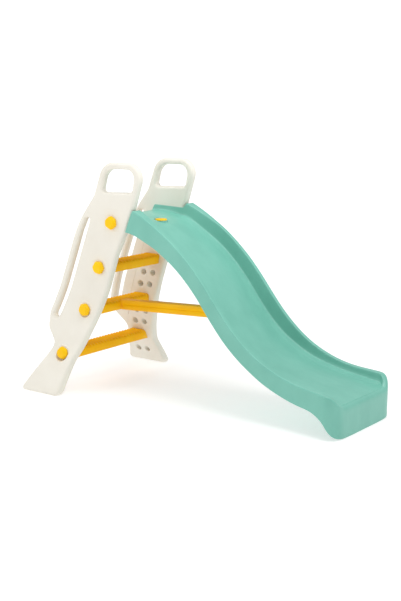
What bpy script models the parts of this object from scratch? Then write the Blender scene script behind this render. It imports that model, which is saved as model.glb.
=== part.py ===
"""Toddler slide: two blow-moulded side frames, three steps, a platform beam, a brace and a chute."""

import math

import bmesh
import bpy
from mathutils import Matrix

MM = 0.001
OBJECT = "toddler_slide"

# Overall sizes (mm, +X down the slide, +Z up, origin on the floor under the middle of the length)
LENGTH = 1458.0
CHUTE_WIDTH = 400.0
FRAME_GAP = 312.0
FRAME_THICK = 36.0
WALL = 3.0
SHEET = 3.5
CLEAR = 0.4

# Ladder: the bolt line rises one step at a time
STEP_RISE = 185.5
STEP_RUN = 73.0
FIRST_BOLT_Z = 161.0
FIRST_BOLT_X = -578.5
PLATFORM_BOLT_RISE = 192.0
STEP_DEPTH = 80.0
STEP_TOP = 18.0
STEP_DROP = 25.0
RIB_PITCH = 19.0
RIB_HEIGHT = 3.0

# How far each frame stands out to the side, by height: (height, outer face, thickness across)
FLARE = (
    (0.0, 189.0, 43.0),
    (60.0, 152.0, 43.0),
    (128.0, 104.0, 43.0),
    (190.0, 68.0, 43.0),
    (250.0, 45.0, 40.5),
    (315.0, 22.5, 38.0),
    (372.0, 10.0, 37.0),
    (450.0, 1.5, 36.0),
    (1200.0, 0.0, 36.0),
)

# Frame outline as corners: (distance in front of the bolt line, height, corner radius)
OUTLINE = (
    (-97.5, 0.0, 14.0),
    (127.0, 0.0, 22.0),
    (75.0, 128.0, 90.0),
    (74.0, 455.0, 500.0),
    (68.0, 585.0, 300.0),
    (82.0, 700.0, 300.0),
    (85.0, 784.0, 100.0),
    (74.7, 970.0, 62.0),
    (-145.3, 970.0, 76.0),
    (-143.4, 833.0, 60.0),
    (-193.0, 711.0, 560.0),
    (-193.8, 318.0, 70.0),
    (-159.0, 253.0, 42.0),
    (-74.8, 191.0, 28.0),
)
SLOT = (
    (-163.0, 297.0, 14.0),
    (-129.0, 297.0, 14.0),
    (-129.0, 737.0, 15.0),
    (-155.0, 737.0, 15.0),
    (-163.0, 680.0, 90.0),
)
GRIP = ((-106.5, 846.0, 12.0), (55.0, 852.0, 16.0), (36.3, 943.0, 46.0), (-118.7, 943.0, 38.0))

# Moulded dimples that tie the two walls of a frame together
DIMPLE_SPREAD = 26.0
DIMPLE_ROWS = (-91.0, 60.0, 115.0)
DIMPLE_MOUTH = 14.0
DIMPLE_TIP = 8.0

# Hand bolts
HEAD_R = 29.0
HEAD_H = 20.0
SHANK_R = 8.0
SHANK_GRIP = 32.0
SEAT_R = 31.0
SEAT_DEPTHS = (8.0, 3.0, 1.5, 1.5)
HEAD_TURNS = (12.0, 41.0, 25.0, 3.0)

# Chute stations: (x, rail top, bed, skirt edge, inner wall inside and outer wall outside half the width)
STATIONS = (
    (-240.5, 783.0, 721.0, 691.0, 47.5, 0.0),
    (-209.5, 768.0, 709.0, 683.0, 46.5, 0.0),
    (-179.5, 753.0, 688.0, 663.0, 42.0, 0.0),
    (-146.5, 734.0, 664.0, 645.0, 33.0, 0.0),
    (-109.5, 711.0, 636.0, 623.0, 24.5, 0.0),
    (-56.5, 677.0, 598.0, 588.0, 22.0, 0.0),
    (-4.5, 635.0, 552.0, 547.0, 22.0, 0.0),
    (45.5, 590.0, 499.0, 498.0, 22.0, 0.0),
    (85.5, 548.0, 450.0, 453.0, 22.0, 0.0),
    (125.5, 501.0, 397.0, 400.0, 22.0, 0.0),
    (165.5, 450.0, 349.0, 350.0, 22.0, 0.0),
    (205.5, 400.0, 307.0, 304.0, 22.0, 0.0),
    (247.5, 353.0, 270.0, 264.0, 22.0, 0.0),
    (294.5, 309.0, 240.0, 226.0, 22.0, 0.0),
    (340.5, 273.0, 214.0, 195.0, 22.0, 0.0),
    (385.5, 245.0, 194.0, 167.0, 22.0, 0.0),
    (432.5, 222.5, 179.0, 145.0, 21.5, 0.5),
    (477.5, 204.5, 168.0, 128.0, 21.0, 2.0),
    (525.5, 191.0, 158.0, 113.0, 20.0, 4.0),
    (575.5, 181.0, 149.0, 103.0, 17.5, 8.0),
    (615.5, 176.5, 141.0, 97.0, 14.0, 13.0),
    (650.5, 173.0, 135.0, 80.0, 11.5, 17.5),
    (678.5, 169.5, 130.0, 55.0, 10.0, 20.0),
)
# Platform stations: (x, side lip top, floor)
REAR_X = -415.0
PLATFORM = (
    (REAR_X, 768.0, 742.0),
    (-394.0, 767.0, 742.0),
    (-326.5, 765.0, 740.5),
    (-281.5, 763.0, 731.0),
    (-254.5, 762.0, 725.0),
)
PLATFORM_INSETS = (4.0, 5.5, 13.0, 26.0)
REAR_LEAN = 0.45
CAP_INSET = 7.5
# Exit corners: ellipse in plan, then heights from the side round to the front
EXIT_FLARE = 21.0
EXIT_ALONG = 30.0
EXIT_ACROSS = 42.0
EXIT_FLAT = 110.0
EXIT_BED = 121.0
EXIT_RAILS = (166.0, 161.0, 150.0, 136.0, 121.0, 121.0)
EXIT_SKIRTS = (40.0, 25.0, 14.0, 7.0, 3.0, 0.0)

# Brace and its joints
BRACE_HALF = 20.0
BRACE_HEIGHT = 44.0
BRACE_SLOPE = 0.046
BRACE_REAR_X = FIRST_BOLT_X + STEP_RUN + STEP_DEPTH / 2 - CLEAR
BRACE_REAR_Z = FIRST_BOLT_Z + STEP_RISE - STEP_DROP - 0.5
BRACE_TOP_END = 109.5
BRACE_LOW_END = 144.5
BRACE_BOLT_X = 104.0
BRACE_BOLT_Z = 368.0
CHEEK = 4.0
TONGUE_HALF = 14.0

# Platform screw
SCREW_X = -254.0
SCREW_SEAT = 722.5
SCREW_R = 26.0
SCREW_BOSS = 10.0
SCREW_SHANK = 6.0
NUT_R = 10.0
SMALL_R = 4.0


# ---------------------------------------------------------------- scene
def clear_scene():
    for obj in list(bpy.data.objects):
        bpy.data.objects.remove(obj, do_unlink=True)
    for group in list(bpy.data.collections):
        bpy.data.collections.remove(group)


clear_scene()
PARTS = bpy.data.collections.new(OBJECT)
CUTTERS = bpy.data.collections.new("cutters")
bpy.context.scene.collection.children.link(PARTS)
bpy.context.scene.collection.children.link(CUTTERS)
CUTTERS.hide_render = True


def material(name, colour, roughness):
    mat = bpy.data.materials.new(name)
    mat.use_nodes = True
    shader = mat.node_tree.nodes["Principled BSDF"]
    shader.inputs["Base Color"].default_value = (*colour, 1.0)
    shader.inputs["Roughness"].default_value = roughness
    mat.diffuse_color = (*colour, 1.0)
    return mat


CREAM = material("cream_frame", (0.85, 0.80, 0.70), 0.45)
TEAL = material("teal_chute", (0.13, 0.45, 0.36), 0.35)
YELLOW = material("yellow_steps", (1.0, 0.55, 0.01), 0.4)
KNOB = material("yellow_bolts", (1.0, 0.60, 0.02), 0.35)
STEEL = material("nut_steel", (0.55, 0.55, 0.56), 0.35)


def mesh_object(name, mesh, group, mat=None):
    obj = bpy.data.objects.new(name, mesh)
    group.objects.link(obj)
    if mat:
        mesh.materials.clear()
        mesh.materials.append(mat)
    if group == CUTTERS:
        obj.hide_render = True
        obj.display_type = "WIRE"
    return obj


def sheet(name, points, faces):
    """An open sheet lofted from points in mm."""
    bm = bmesh.new()
    verts = [bm.verts.new([c * MM for c in p]) for p in points]
    for face in faces:
        bm.faces.new([verts[i] for i in face])
    bmesh.ops.recalc_face_normals(bm, faces=bm.faces)
    mesh = bpy.data.meshes.new(name)
    bm.to_mesh(mesh)
    bm.free()
    return mesh_object(name, mesh, CUTTERS)


def extruded(name, outline, travel):
    """A flat outline of 3D points in mm, drawn out along a vector."""
    bm = bmesh.new()
    face = bm.faces.new([bm.verts.new([c * MM for c in p]) for p in outline])
    made = bmesh.ops.extrude_face_region(bm, geom=[face])
    moved = [v for v in made["geom"] if isinstance(v, bmesh.types.BMVert)]
    bmesh.ops.translate(bm, verts=moved, vec=[c * MM for c in travel])
    bmesh.ops.recalc_face_normals(bm, faces=bm.faces)
    mesh = bpy.data.meshes.new(name)
    bm.to_mesh(mesh)
    bm.free()
    return mesh_object(name, mesh, CUTTERS)


def prism_y(name, outline, y0, y1):
    """An (x, z) outline drawn out along Y."""
    return extruded(name, [(x, y0, z) for x, z in outline], (0.0, y1 - y0, 0.0))


def prism_x(name, outline, x0, x1):
    """A (y, z) outline drawn out along X."""
    return extruded(name, [(x0, y, z) for y, z in outline], (x1 - x0, 0.0, 0.0))


def box(name, low, high):
    """A cube stretched between two corners in mm."""
    bm = bmesh.new()
    bmesh.ops.create_cube(bm, size=1.0)
    for vertex in bm.verts:
        vertex.co = [(a + b) / 2 * MM + c * (b - a) * MM for a, b, c in zip(low, high, vertex.co)]
    mesh = bpy.data.meshes.new(name)
    bm.to_mesh(mesh)
    bm.free()
    return mesh_object(name, mesh, CUTTERS)


def turned(name, stages, count):
    """A body of revolution about Z: stages are (height, radius) from the bottom up."""
    profile = [(0.0, stages[-1][0])] + [(r, z) for z, r in reversed(stages)] + [(0.0, stages[0][0])]
    mesh = bpy.data.meshes.new(name)
    mesh.from_pydata([(r * MM, 0.0, z * MM) for r, z in profile], [(i, i + 1) for i in range(len(profile) - 1)], [])
    obj = mesh_object(name, mesh, CUTTERS)
    screw = obj.modifiers.new("turn", "SCREW")
    screw.steps = count
    screw.render_steps = count
    screw.use_merge_vertices = True
    screw.merge_threshold = 0.0001
    obj.data = evaluated_mesh(obj)
    obj.modifiers.clear()
    return obj


def placed(obj, axis, centre):
    """Turns a body about Z onto the axis named, then moves it to (x, y, z) in mm, in its mesh."""
    turn = {"Z": Matrix(), "Y": Matrix.Rotation(math.radians(-90.0), 4, "X")}[axis]
    obj.data.transform(Matrix.Translation([c * MM for c in centre]) @ turn)
    return obj


def rod_y(name, x, z, stages, count=16):
    """A turned body on a Y axis through (x, z): stages are (y, radius)."""
    return placed(turned(name, stages, count), "Y", (x, 0.0, z))


def rod_z(name, x, y, stages, count=20):
    return placed(turned(name, stages, count), "Z", (x, y, 0.0))


def hexagon(name, radius, low, high, taper=1.0, turn=0.0):
    """A six-sided block about Z, with its top drawn in by the taper."""
    bm = bmesh.new()
    size = (high - low) * MM
    bmesh.ops.create_cone(bm, cap_ends=True, segments=6, radius1=radius * MM, radius2=radius * taper * MM, depth=size)
    place = Matrix.Translation((0.0, 0.0, (low + high) / 2 * MM)) @ Matrix.Rotation(math.radians(turn), 4, "Z")
    bmesh.ops.transform(bm, matrix=place, verts=bm.verts)
    mesh = bpy.data.meshes.new(name)
    bm.to_mesh(mesh)
    bm.free()
    return mesh_object(name, mesh, CUTTERS)


def join(name, objects):
    """Several separate bodies as one cutter."""
    bm = bmesh.new()
    for obj in objects:
        bm.from_mesh(obj.data)
        bpy.data.objects.remove(obj, do_unlink=True)
    mesh = bpy.data.meshes.new(name)
    bm.to_mesh(mesh)
    bm.free()
    return mesh_object(name, mesh, CUTTERS)


def evaluated_mesh(obj):
    graph = bpy.context.evaluated_depsgraph_get()
    graph.update()
    return bpy.data.meshes.new_from_object(obj.evaluated_get(graph), depsgraph=graph)


def boolean(obj, other, operation="DIFFERENCE"):
    """Applies one exact Boolean and throws the tool away."""
    mod = obj.modifiers.new(operation.lower(), "BOOLEAN")
    mod.operation = operation
    mod.solver = "EXACT"
    mod.object = other
    mesh = evaluated_mesh(obj)
    obj.modifiers.clear()
    obj.data = mesh
    bpy.data.objects.remove(other, do_unlink=True)
    return obj


def shifted(obj, move):
    """Moves each vertex by move(x, y, z) in mm, which returns the new place."""
    for vertex in obj.data.vertices:
        place = move(*(c / MM for c in vertex.co))
        vertex.co = [c * MM for c in place]
    return obj


def mirrored(name, obj, mat):
    """The same solid on the other side."""
    bm = bmesh.new()
    bm.from_mesh(obj.data)
    for vertex in bm.verts:
        vertex.co.y = -vertex.co.y
    bmesh.ops.reverse_faces(bm, faces=bm.faces)
    mesh = bpy.data.meshes.new(name)
    bm.to_mesh(mesh)
    bm.free()
    return mesh_object(name, mesh, PARTS, mat)


# ---------------------------------------------------------------- shared lines
def bolt_x(z):
    """X of the bolt line at a height."""
    return FIRST_BOLT_X + (z - FIRST_BOLT_Z) * STEP_RUN / STEP_RISE


def between(table, at, column):
    """A table's column at a place between its rows."""
    for low, high in zip(table, table[1:]):
        if at <= high[0]:
            share = (at - low[0]) / (high[0] - low[0])
            return low[column] + share * (high[column] - low[column])
    return table[-1][column]


def outer_y(z):
    return FRAME_GAP / 2 + FRAME_THICK + between(FLARE, max(z, 0.0), 1)


def thick_y(z):
    return between(FLARE, max(z, 0.0), 2)


def inner_y(z):
    return outer_y(z) - thick_y(z)


def bed_at(x):
    rows = [(a, floor) for a, _, floor in PLATFORM] + [(row[0], row[2]) for row in STATIONS]
    rows.append((LENGTH / 2, EXIT_BED))
    return between(rows, x, 1)


BOLTS = [(FIRST_BOLT_X + k * STEP_RUN, FIRST_BOLT_Z + k * STEP_RISE) for k in range(3)]
BOLTS.append((FIRST_BOLT_X + 3 * STEP_RUN, BOLTS[2][1] + PLATFORM_BOLT_RISE))


def rounded(corners, spacing=22.0):
    """Corners (x, z, radius) as a closed outline with arcs."""
    points = []
    count = len(corners)
    for i, (x, z, radius) in enumerate(corners):
        before = corners[i - 1]
        after = corners[(i + 1) % count]
        a = (before[0] - x, before[1] - z)
        b = (after[0] - x, after[1] - z)
        la = math.hypot(*a)
        lb = math.hypot(*b)
        ua = (a[0] / la, a[1] / la)
        ub = (b[0] / lb, b[1] / lb)
        angle = math.acos(max(-1.0, min(1.0, ua[0] * ub[0] + ua[1] * ub[1])))
        cut = min(radius / math.tan(angle / 2), 0.48 * la, 0.48 * lb)
        radius = cut * math.tan(angle / 2)
        middle = (ua[0] + ub[0], ua[1] + ub[1])
        lm = math.hypot(*middle)
        reach = radius / math.sin(angle / 2)
        centre = (x + middle[0] / lm * reach, z + middle[1] / lm * reach)
        start = math.atan2(z + ua[1] * cut - centre[1], x + ua[0] * cut - centre[0])
        end = math.atan2(z + ub[1] * cut - centre[1], x + ub[0] * cut - centre[0])
        sweep = (end - start + math.pi) % (2 * math.pi) - math.pi
        steps = max(2, min(7, round(abs(sweep) * radius / spacing), round(abs(sweep) / 0.30)))
        for k in range(steps + 1):
            turn = start + sweep * k / steps
            points.append((centre[0] + radius * math.cos(turn), centre[1] + radius * math.sin(turn)))
    return points


# ---------------------------------------------------------------- side frames
def leaning(corners):
    return [(bolt_x(z) + ahead, z, radius) for ahead, z, radius in corners]


def frame_blank(name, inset, edge, resolution):
    """The flat frame, drawn in XZ with rounded edges, its faces inset by the same amount all round."""
    curve = bpy.data.curves.new(name, "CURVE")
    curve.dimensions = "2D"
    curve.fill_mode = "BOTH"
    curve.extrude = (FRAME_THICK / 2 - inset - edge) * MM
    curve.bevel_depth = edge * MM
    curve.bevel_resolution = resolution
    curve.offset = -(edge + inset) * MM
    for corners in (OUTLINE, SLOT, GRIP):
        outline = rounded(leaning(corners))
        spline = curve.splines.new("POLY")
        spline.points.add(len(outline) - 1)
        for point, (x, z) in zip(spline.points, outline):
            point.co = (x * MM, z * MM, 0.0, 1.0)
        spline.use_cyclic_u = True
    flat = bpy.data.objects.new(name, curve)
    CUTTERS.objects.link(flat)
    mesh = evaluated_mesh(flat)
    bpy.data.objects.remove(flat, do_unlink=True)
    bm = bmesh.new()
    bm.from_mesh(mesh)
    bmesh.ops.remove_doubles(bm, verts=bm.verts, dist=1e-6)
    for vertex in bm.verts:
        x, z, y = vertex.co
        vertex.co = (x, y, z)
    if bm.calc_volume(signed=True) < 0:
        bmesh.ops.reverse_faces(bm, faces=bm.faces)
    bm.to_mesh(mesh)
    bm.free()
    return mesh_object(name, mesh, CUTTERS)


def dimples(name, grow, foot, tip):
    """The cones of the dimples, each grown by the wall when they stand for the tied material."""
    cones = []
    for k in range(3):
        rows = DIMPLE_ROWS if k == 0 else DIMPLE_ROWS[1:]
        for row in rows:
            z = FIRST_BOLT_Z + k * STEP_RISE + row
            for side in (-1, 1):
                x = bolt_x(z) + side * DIMPLE_SPREAD
                stages = ((foot, DIMPLE_MOUTH + grow), (tip, DIMPLE_TIP + grow))
                cones.append(rod_y(f"{name}_{len(cones)}", x, z, stages, 12))
    return cones


def cut_levels(obj):
    """Edges across the frame at each height where its sideways bend changes."""
    bm = bmesh.new()
    bm.from_mesh(obj.data)
    for level in FLARE[1:-1]:
        geometry = bm.verts[:] + bm.edges[:] + bm.faces[:]
        height = (0.0, 0.0, level[0] * MM)
        bmesh.ops.bisect_plane(bm, geom=geometry, plane_co=height, plane_no=(0.0, 0.0, 1.0), dist=1e-7)
    bmesh.ops.triangulate(bm, faces=bm.faces)
    bm.to_mesh(obj.data)
    bm.free()
    return obj


def bent(x, y, z):
    share = 0.5 - y / FRAME_THICK
    return x, outer_y(z) - thick_y(z) * share, z


def make_frame():
    half = FRAME_THICK / 2
    frame = frame_blank("side_frame_left", 0.0, 9.0, 1)
    cavity = frame_blank("frame_cavity", WALL, 5.0, 0)
    ties = dimples("tie", WALL, -half - 2, half - WALL + 1)
    for k, (x, z) in enumerate(BOLTS):
        radius = SEAT_R + 4.0 if k < 2 else SHANK_R + 5.0
        ties.append(rod_y(f"column_{k}", x, z, ((-half, radius), (half, radius))))
    boolean(cavity, join("ties", ties))
    boolean(frame, cavity)
    boolean(frame, join("mouths", dimples("mouth", 0.0, -half - 1, half - 2 * WALL)))
    shifted(cut_levels(frame), bent)
    for k, (x, z) in enumerate(BOLTS):
        seat = outer_y(z) - SEAT_DEPTHS[k]
        if k < 2:
            boolean(frame, rod_y("boss", x, z, ((inner_y(z) + 15.0, SEAT_R + 2.5), (seat, SEAT_R + 2.5)), 20), "UNION")
        boolean(frame, rod_y("seat", x, z, ((seat, SEAT_R), (seat + 60.0, SEAT_R)), 20))
        hole = SHANK_R + CLEAR
        boolean(frame, rod_y("hole", x, z, ((inner_y(z) - 40.0, hole), (seat + 5.0, hole))))
    vent_x = bolt_x(0.0) + 18.0
    vent_y = outer_y(0.0) - thick_y(0.0) / 2
    boolean(frame, rod_z("vent", vent_x, vent_y, ((-5.0, 5.0), (12.0, 5.0)), 12))
    left = mesh_object("side_frame_left", frame.data, PARTS, CREAM)
    bpy.data.objects.remove(frame, do_unlink=True)
    left.name = "side_frame_left"
    mirrored("side_frame_right", left, CREAM)


# ---------------------------------------------------------------- steps and platform beam
def beam(name, bolt, outer, inner, top, boss_r, ribs, kept=None):
    """A moulded beam between the frames, open underneath, with a boss at each end for its bolt."""
    x0, z0 = bolt
    reach = inner_y(z0 + top) - CLEAR

    def place(x, y, z):
        if abs(y) < reach - 6.0:
            return x, y, z
        return x, y + math.copysign(inner_y(z) - inner_y(z0 + top), y), z

    body = prism_y(name, [(x0 + x, z0 + z) for x, z in outer], -reach, reach)
    if ribs:
        count = int((2 * reach - 16.0) / RIB_PITCH)
        start = -count * RIB_PITCH / 2
        crest = [(-reach - 1, z0 - 60), (-reach - 1, z0 + top), (start, z0 + top)]
        for k in range(count):
            crest.append((start + (k + 0.62) * RIB_PITCH, z0 + top - RIB_HEIGHT))
            crest.append((start + (k + 1) * RIB_PITCH, z0 + top))
        crest += [(reach + 1, z0 + top), (reach + 1, z0 - 60)]
        boolean(body, prism_x("tread", crest, x0 - 80, x0 + 80), "INTERSECT")
    shape = [(x0 + x, z0 + z) for x, z in inner]
    rooms = []
    web = reach * 0.36
    for a, b in ((-reach + 4.0, -web - 3.0), (-web, web), (web + 3.0, reach - 4.0)):
        rooms.append(prism_y("room", shape, a, b))
    room = join("rooms", rooms)
    bosses = []
    for side in (-1, 1):
        ends = sorted((side * (reach + 1.0), side * (reach - SHANK_GRIP - 4.0)))
        bosses.append(rod_y("boss", x0, z0, [(y, boss_r) for y in ends], 16))
    boolean(room, join("bosses", bosses + ([kept] if kept else [])))
    boolean(body, room)
    shifted(body, place)
    for side in (-1, 1):
        ends = sorted((side * (reach + 40.0), side * (reach - SHANK_GRIP - 12.0)))
        boolean(body, rod_y("thread", x0, z0, [(y, SHANK_R + CLEAR) for y in ends]))
    return body


def finish(body, name, mat):
    obj = mesh_object(name, body.data, PARTS, mat)
    bpy.data.objects.remove(body, do_unlink=True)
    obj.name = name
    return obj


def make_steps():
    half = STEP_DEPTH / 2
    low = -STEP_DROP
    top = STEP_TOP
    outer = [(-half, low), (half - 6, low), (half - 1, 4), (half - 2, top - 6), (half - 9, top), (-half + 3, top), (-half, top - 4)]
    t = SHEET
    inner = [(-half + t, low - 5), (half - 6 - t, low - 5), (half - 2 - t, 3), (half - 10, top - RIB_HEIGHT - t)]
    inner += [(-half + t + 1, top - RIB_HEIGHT - t)]
    for k, name in enumerate(("step_lower", "step_middle", "step_upper")):
        body = beam(name, BOLTS[k], outer, inner, top, SHANK_R + 3.5, True)
        if k == 1:
            x, z = BOLTS[1]
            slot = [(y, height) for y, height in ((-1, -11.7), (1, -11.7), (1, 5.5), (-1, 5.5))]
            slot = [(side * (TONGUE_HALF + 0.5), z + height) for side, height in slot]
            boolean(body, prism_x("slot", slot, x + half - 14, x + half + 5))
        finish(body, name, YELLOW)


def make_platform_beam():
    x0, z0 = BOLTS[3]
    base = z0 - 29.0
    nose = SCREW_X + 30.0
    under = [(x, bed_at(x) - SHEET * 1.1 - CLEAR) for x in (x0 - 45.0, -327.0, -310.0, -282.0, -257.0, nose)]
    outer = [(nose, base)] + under[::-1] + [(x0 - 45.0, base)]
    shape = [(nose - SHEET, base - 5.0)] + [(x, z - SHEET) for x, z in under[::-1]] + [(x0 - 45.0, base - 5.0)]
    shape[1] = (nose - SHEET, shape[1][1])
    shape[-2:] = [(x0 - 45.0 + SHEET, shape[-2][1]), (x0 - 45.0 + SHEET, base - 5.0)]
    outer = [(x - x0, z - z0) for x, z in outer]
    shape = [(x - x0, z - z0) for x, z in shape]
    shelf_z = SCREW_SEAT - SCREW_BOSS
    solid = box("shelf", (-300.0, -44.0, shelf_z - 4.5), (-200.0, 44.0, 760.0))
    body = beam("platform_beam", BOLTS[3], outer, shape, under[0][1] - z0, SHANK_R + 3.5, False, solid)
    boolean(body, rod_z("post", SCREW_X, 0.0, ((base, 15.0), (shelf_z - 2.0, 15.0)), 20), "UNION")
    boolean(body, box("seat_room", (SCREW_X - 36.0, -40.0, shelf_z - CLEAR), (-200.0, 40.0, 780.0)))
    rail = CHUTE_WIDTH / 2 - STATIONS[0][4] - 2.5
    for side in (-1, 1):
        ends = sorted((side * rail, side * (FRAME_GAP / 2 + 19.0)))
        boolean(body, box("ahead", (-298.0, ends[0], 680.0), (-200.0, ends[1], 780.0)))
    boolean(body, rod_z("screw_hole", SCREW_X, 0.0, ((z0 - 40.0, SCREW_SHANK + CLEAR), (740.0, SCREW_SHANK + CLEAR)), 16))
    pocket = hexagon("nut_pocket", NUT_R + 0.5, z0 - 40.0, z0 - 20.0)
    boolean(body, placed(pocket, "Z", (SCREW_X, 0.0, 0.0)))
    finish(body, "platform_beam", YELLOW)


# ---------------------------------------------------------------- chute
def rail_ring(top, bed, skirt, width, lip):
    """(distance in from the outer line, height) from the skirt edge over the rail to the bed."""
    rise = top - bed
    crown = min(8.0, max(lip, 0.25 * (bed - skirt)))
    return [
        (2.0, skirt),
        (0.0, top - crown),
        (2.3, top - 2.3),
        (8.0, top),
        (width - 7.0, top),
        (width - 1.0, top - min(5.0, rise * 0.3)),
        (width + 3.0, bed + min(14.0, rise * 0.4)),
        (width + 11.0, bed + min(3.0, rise * 0.1)),
        (width + 24.0, bed),
    ]


def make_chute():
    half = CHUTE_WIDTH / 2
    platform_edge = [FRAME_GAP / 2 - inset for inset in PLATFORM_INSETS]
    rows = [[None] * 5 + [(REAR_X - REAR_LEAN * 46.0, y, 716.0) for y in platform_edge]]
    for x, lip, floor in PLATFORM:
        heights = (lip, floor + 10.0, floor + 2.0, floor)
        lean = REAR_LEAN if x == REAR_X else 0.0
        rows.append([None] * 5 + [(x + lean * (z - lip), y, z) for y, z in zip(platform_edge, heights)])
    for k, (x, top, bed, skirt, inset, flare) in enumerate(STATIONS):
        lean = REAR_LEAN * max(0.0, 1.0 - k / 3.0)
        edge = half + flare
        ring = rail_ring(top, bed, skirt, inset + flare, 8.0)
        row = []
        for j, (d, z) in enumerate(ring):
            row.append((x + (lean * (z - top) if j < 6 else 0.0), edge - d, z))
        rows.append(row)
    corner_x = LENGTH / 2 - EXIT_ALONG
    corner_y = half + EXIT_FLARE - EXIT_ACROSS
    for k, rail in enumerate(EXIT_RAILS):
        turn = math.radians(min(22.5 * k, 90.0))
        bed = bed_at(corner_x + EXIT_ALONG * math.sin(turn))
        ring = rail_ring(rail, min(bed, rail), EXIT_SKIRTS[k], 28.0, 6.0)
        row = []
        for d, z in ring:
            shrink_x = 1.0 - min(d, 46.0 if k == 5 else 60.0) / 62.0
            x = corner_x + EXIT_ALONG * math.sin(turn) * shrink_x
            y = corner_y + (EXIT_ACROSS - d) * math.cos(turn)
            y = EXIT_FLAT if k == 5 else y
            row.append((x, y, max(z, bed_at(x)) if d > 7.0 else z))
        rows.append(row)
    points = []
    index = {}
    for i, row in enumerate(rows):
        for j, place in enumerate(row):
            if place is None:
                continue
            for side in (-1, 1):
                index[i, j, side] = len(points)
                points.append((place[0], side * place[1], place[2]))
        x, _, z = row[8]
        index[i, 9, 0] = len(points)
        points.append((x, 0.0, z))
    last = len(rows) - 1
    front = {8: index[last, 9, 0]}
    for j in range(8):
        x, _, z = rows[last][j]
        front[j] = len(points)
        points.append((x, 0.0, z))
    faces = []
    for i in range(last):
        for j in range(8):
            if (i, j, 1) not in index:
                continue
            for side in (-1, 1):
                faces.append([index[i, j, side], index[i, j + 1, side], index[i + 1, j + 1, side], index[i + 1, j, side]])
        for side in (-1, 1):
            faces.append([index[i, 8, side], index[i, 9, 0], index[i + 1, 9, 0], index[i + 1, 8, side]])
    for j in range(8):
        for side in (-1, 1):
            faces.append([index[last, j, side], index[last, j + 1, side], front[j + 1], front[j]])
    x, top, _, skirt, inset, _ = STATIONS[0]
    first = len(PLATFORM) + 1
    for side in (-1, 1):
        inner = len(points)
        points.append((x + REAR_LEAN * (skirt - top), side * (half - inset + CAP_INSET), skirt))
        faces.append([index[first, j, side] for j in range(5)] + [inner])
    shell = sheet("chute_shell", points, faces)
    bm = bmesh.new()
    bm.from_mesh(shell.data)
    bmesh.ops.recalc_face_normals(bm, faces=bm.faces)
    bm.faces.ensure_lookup_table()
    bed_face = min(bm.faces, key=lambda f: abs(f.calc_center_median().y) + abs(f.calc_center_median().x))
    if bed_face.normal.z < 0:
        bmesh.ops.reverse_faces(bm, faces=bm.faces)
    bm.to_mesh(shell.data)
    bm.free()
    solid = shell.modifiers.new("wall", "SOLIDIFY")
    solid.thickness = SHEET * MM
    solid.offset = -1.0
    solid.use_even_offset = False
    solid.use_rim = True
    shell.data = evaluated_mesh(shell)
    shell.modifiers.clear()
    lug = [(x, bed_at(x) - 2.0) for x in (75.0, 85.5, 125.5, 146.0)]
    lug += [(146.0, 352.0), (128.0, 343.0), (90.0, 343.0), (75.0, 357.0)]
    for side in (-1, 1):
        sides = sorted((side * (BRACE_HALF + CLEAR), side * (BRACE_HALF + CLEAR + CHEEK)))
        boolean(shell, prism_y("lug", lug, *sides), "UNION")
    reach = BRACE_HALF + CHEEK + 10.0
    boolean(shell, rod_y("lug_hole", BRACE_BOLT_X, BRACE_BOLT_Z, ((-reach, SMALL_R + CLEAR), (reach, SMALL_R + CLEAR)), 16))
    boolean(shell, rod_z("screw_boss", SCREW_X, 0.0, ((SCREW_SEAT - SCREW_BOSS, SCREW_R + 3.0), (SCREW_SEAT + 1.0, SCREW_R + 3.0)), 24), "UNION")
    boolean(shell, rod_z("screw_seat", SCREW_X, 0.0, ((SCREW_SEAT, SCREW_R + 1.0), (760.0, SCREW_R + 1.0)), 24))
    boolean(shell, rod_z("screw_hole", SCREW_X, 0.0, ((690.0, SCREW_SHANK + CLEAR), (740.0, SCREW_SHANK + CLEAR)), 16))
    finish(shell, "chute", TEAL)


# ---------------------------------------------------------------- brace
def make_brace():
    def low(x):
        return BRACE_REAR_Z + BRACE_SLOPE * (x - BRACE_REAR_X)

    top = BRACE_HEIGHT
    rear = BRACE_REAR_X
    side = [(rear, low(rear)), (BRACE_LOW_END, low(BRACE_LOW_END)), (BRACE_TOP_END, low(BRACE_TOP_END) + top), (rear, low(rear) + top)]
    body = prism_y("support_brace", side, -BRACE_HALF, BRACE_HALF)
    bm = bmesh.new()
    bm.from_mesh(body.data)
    long_edges = [e for e in bm.edges if abs(e.verts[0].co.x - e.verts[1].co.x) > 0.3]
    bmesh.ops.bevel(bm, geom=long_edges, offset=3.0 * MM, segments=1, affect="EDGES", profile=0.5)
    bm.to_mesh(body.data)
    bm.free()
    t = SHEET
    room = [(rear + t, low(rear) - 5), (BRACE_LOW_END - 5, low(BRACE_LOW_END) - 5)]
    room += [(BRACE_TOP_END - 4, low(BRACE_TOP_END) + top - t), (rear + t, low(rear) + top - t)]
    rooms = prism_y("room", room, -BRACE_HALF + t, BRACE_HALF - t)
    webs = [prism_y("web", [(x, 280), (x + t, 280), (x + t, 420), (x, 420)], -30, 30) for x in (-300.0, -140.0, 20.0)]
    webs.append(rod_y("boss", BRACE_BOLT_X, BRACE_BOLT_Z, ((-30, 9.0), (30, 9.0)), 16))
    boolean(rooms, join("webs", webs))
    boolean(body, rooms)
    tongue = [(3.0, -10.5), (3.0, -2.5), (-15.5, -2.5), (-15.5, -18.5), (-9.5, -18.5), (-9.5, -10.5)]
    tongue = [(rear + x, BOLTS[1][1] + z) for x, z in tongue]
    boolean(body, prism_y("tongue", tongue, -TONGUE_HALF, TONGUE_HALF), "UNION")
    hole = ((-30, SMALL_R + CLEAR), (30, SMALL_R + CLEAR))
    boolean(body, rod_y("bolt_hole", BRACE_BOLT_X, BRACE_BOLT_Z, hole, 16))
    finish(body, "support_brace", YELLOW)


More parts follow.
